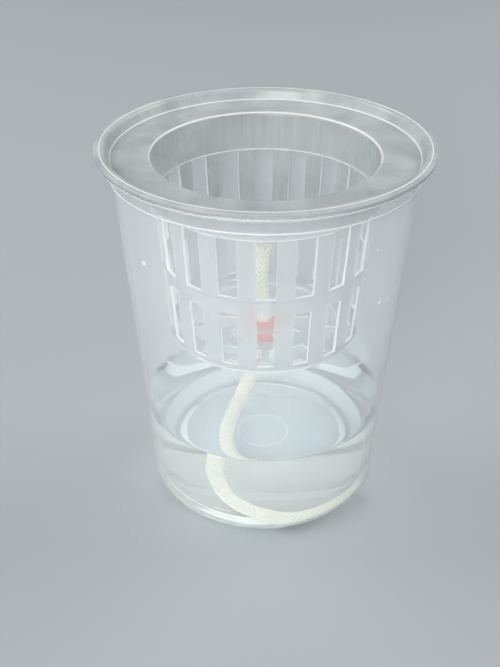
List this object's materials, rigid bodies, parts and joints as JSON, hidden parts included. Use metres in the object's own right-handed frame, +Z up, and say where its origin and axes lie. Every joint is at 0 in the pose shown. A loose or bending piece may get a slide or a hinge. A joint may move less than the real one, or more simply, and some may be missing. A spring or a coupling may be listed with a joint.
{
  "type": "self-watering pot",
  "caption": "Self-watering pot: a clear tapered reservoir cup, a slotted net-cup insert hanging in its rim, and a cotton wick through a grommet down to the water.",
  "frame": {"origin": "centre of the cup's foot on the surface that the pot stands on", "axes": "+Z up along the cup's axis, -Y towards the front of the picture"},
  "size_m": [0.1174, 0.1174, 0.1416],
  "materials": {
    "clear_plastic": "clear, slightly hazy polypropylene",
    "frosted_plastic": "frosted natural polypropylene",
    "red_rubber": "matt red silicone",
    "cotton_cord": "off-white braided cotton"
  },
  "bodies": {
    "reservoir": {"reservoir_cup": "clear_plastic"},
    "insert": {"net_cup": "frosted_plastic", "wick_grommet": "red_rubber", "wick_top": "cotton_cord", "wick_tail": "cotton_cord"}
  },
  "joints": [
    {"name": "insert_lift", "type": "slide", "parent": "reservoir", "child": "insert", "axis": [0, 0, 1], "range_m": [0, 0.15]}
  ]
}
